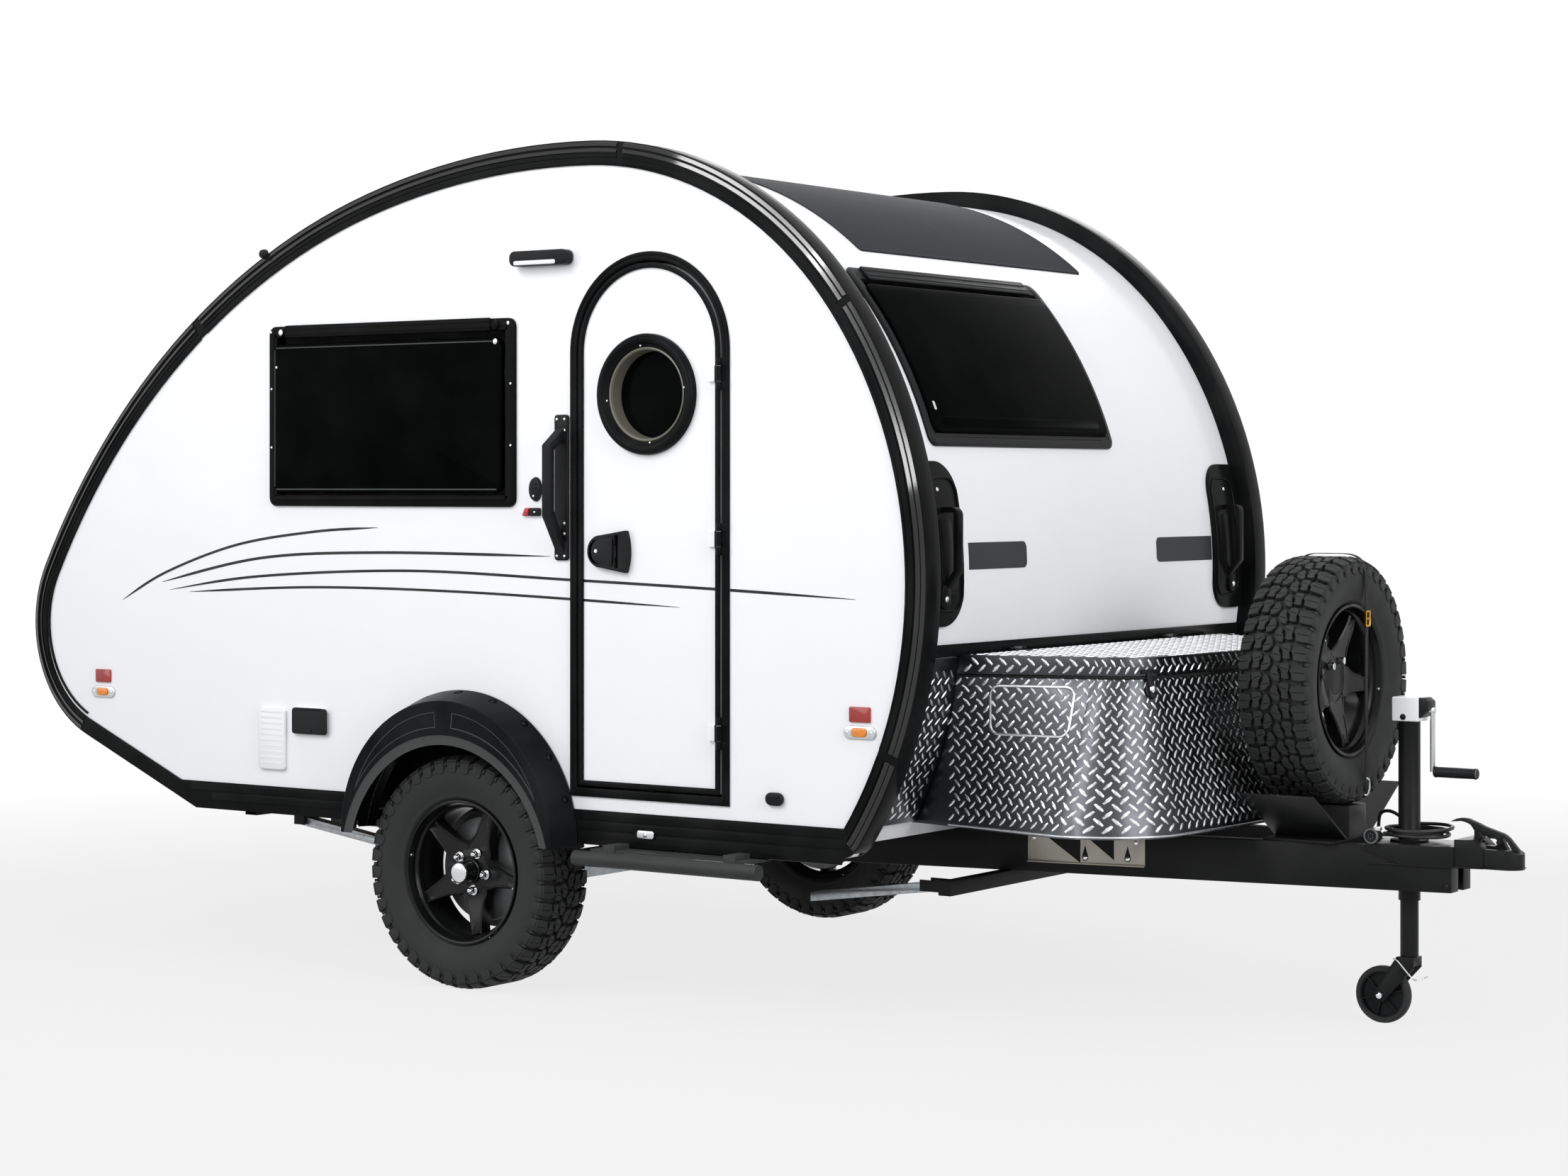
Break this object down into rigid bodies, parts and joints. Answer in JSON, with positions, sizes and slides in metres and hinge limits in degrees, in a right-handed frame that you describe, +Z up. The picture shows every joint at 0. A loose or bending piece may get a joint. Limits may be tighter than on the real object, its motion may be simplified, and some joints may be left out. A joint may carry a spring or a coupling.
{
  "type": "teardrop trailer",
  "caption": "Small egg-shaped travel trailer with a round-headed side door, a nose storage tub, a spare wheel and an A-frame tongue on a jockey wheel.",
  "frame": {"origin": "on the floor, midway between the tail and the nose of the coupler, in the centre plane", "axes": "+X forward along the tongue, +Y to the trailer's left, +Z up"},
  "size_m": [4.72, 2.197, 2.4719],
  "materials": {
    "white_panel": "smooth white composite skin on a sandwich core",
    "white_gloss": "glossy moulded plastic",
    "trim_black": "satin black with bright grooves",
    "black_plastic": "grained black plastic",
    "grey_window": "tinted acrylic in a black frame",
    "deck_grey": "sealed board",
    "steel_black": "black paint",
    "steel_galv": "galvanised",
    "cast_grey": "cast and machined",
    "tyre": "matt black rubber",
    "rim": "gloss black paint on alloy",
    "checker": "embossed tread plate",
    "jack_zinc": "zinc plated",
    "lamp_red": "red lens in a black housing",
    "lamp": "clear lens",
    "solar": "dark cells under a thin sheet",
    "cable": "black jacket",
    "door_white": "white skin on a sandwich core"
  },
  "bodies": {
    "body": {"assist_handle": "black_plastic", "awning_lamp": "lamp", "axle": "steel_galv", "cable_coil": "cable", "cable_gland": "black_plastic", "cable_lead": "cable", "cable_plug": "black_plastic", "cable_tail": "cable", "chassis_rail_left": "steel_black", "chassis_rail_right": "steel_black", "corner_panels": "checker", "coupler": "steel_black", "coupler_latch": "steel_black", "cross_members": "steel_black", "door_frame": "black_plastic", "edge_trim_left": "trim_black", "edge_trim_right": "trim_black", "fender_left": "black_plastic", "fender_right": "black_plastic", "floor_deck": "deck_grey", "front_panel": "white_panel", "front_window": "grey_window", "grab_handle_left": "black_plastic", "grab_handle_right": "black_plastic", "jack_crank": "jack_zinc", "jack_tube": "steel_black", "nose_strip": "trim_black", "rear_panel": "white_panel", "roof_panel": "white_panel", "service_ports": "white_gloss", "side_step": "steel_black", "side_wall_left": "white_panel", "side_wall_right": "white_panel", "side_window_left": "grey_window", "side_window_right": "grey_window", "solar_panel": "solar", "spare_carrier": "steel_black", "spare_rim": "rim", "spare_tyre": "tyre", "stabiliser_brackets": "steel_black", "tail_lamps": "lamp_red", "tub_body": "checker", "wheel_boxes": "black_plastic"},
    "wheel_right": {"right_tyre": "tyre", "right_rim": "rim", "right_hub": "cast_grey"},
    "wheel_left": {"left_tyre": "tyre", "left_rim": "rim", "left_hub": "cast_grey"},
    "door": {"entry_door": "door_white", "door_window": "grey_window", "door_handle": "black_plastic"},
    "lid": {"tub_lid": "checker"},
    "jack_inner": {"jack_leg": "steel_black"},
    "jack_swivel": {"jack_fork": "steel_black"},
    "jockey": {"jockey_wheel": "black_plastic"},
    "stay_front_right": {"stabiliser_front_right": "steel_galv"},
    "stay_front_left": {"stabiliser_front_left": "steel_galv"},
    "stay_rear_right": {"stabiliser_rear_right": "steel_galv"},
    "stay_rear_left": {"stabiliser_rear_left": "steel_galv"}
  },
  "joints": [
    {"name": "right_wheel_spin", "type": "hinge", "parent": "body", "child": "wheel_right", "pos_m": [-0.517, -0.937, 0.344], "axis": [0, 1, 0], "continuous": true},
    {"name": "left_wheel_spin", "type": "hinge", "parent": "body", "child": "wheel_left", "pos_m": [-0.517, 0.937, 0.344], "axis": [0, 1, 0], "continuous": true},
    {"name": "door_hinge", "type": "hinge", "parent": "body", "child": "door", "pos_m": [0.42, -1.0125, 1.3], "axis": [0, 0, 1], "range_deg": [0, 110]},
    {"name": "lid_hinge", "type": "hinge", "parent": "body", "child": "lid", "pos_m": [1.046, 0, 1.026], "axis": [0, -1, 0], "range_deg": [0, 75]},
    {"name": "jack_wind", "type": "slide", "parent": "body", "child": "jack_inner", "axis": [0, 0, 1], "range_m": [0, 0.13]},
    {"name": "caster_swivel", "type": "hinge", "parent": "jack_inner", "child": "jack_swivel", "pos_m": [2.03, 0, 0.19], "axis": [0, 0, 1], "continuous": true},
    {"name": "jockey_spin", "type": "hinge", "parent": "jack_swivel", "child": "jockey", "pos_m": [1.954, 0, 0.079], "axis": [0, 1, 0], "continuous": true},
    {"name": "stay_front_right_swing", "type": "hinge", "parent": "body", "child": "stay_front_right", "pos_m": [0.86, -0.6, 0.362], "axis": [0, -1, 0], "range_deg": [0, 50]},
    {"name": "stay_front_left_swing", "type": "hinge", "parent": "body", "child": "stay_front_left", "pos_m": [0.86, 0.6, 0.362], "axis": [0, -1, 0], "range_deg": [0, 50]},
    {"name": "stay_rear_right_swing", "type": "hinge", "parent": "body", "child": "stay_rear_right", "pos_m": [-1.39, -0.75, 0.425], "axis": [0, 1, 0], "range_deg": [0, 75]},
    {"name": "stay_rear_left_swing", "type": "hinge", "parent": "body", "child": "stay_rear_left", "pos_m": [-1.39, 0.75, 0.425], "axis": [0, 1, 0], "range_deg": [0, 75]}
  ]
}
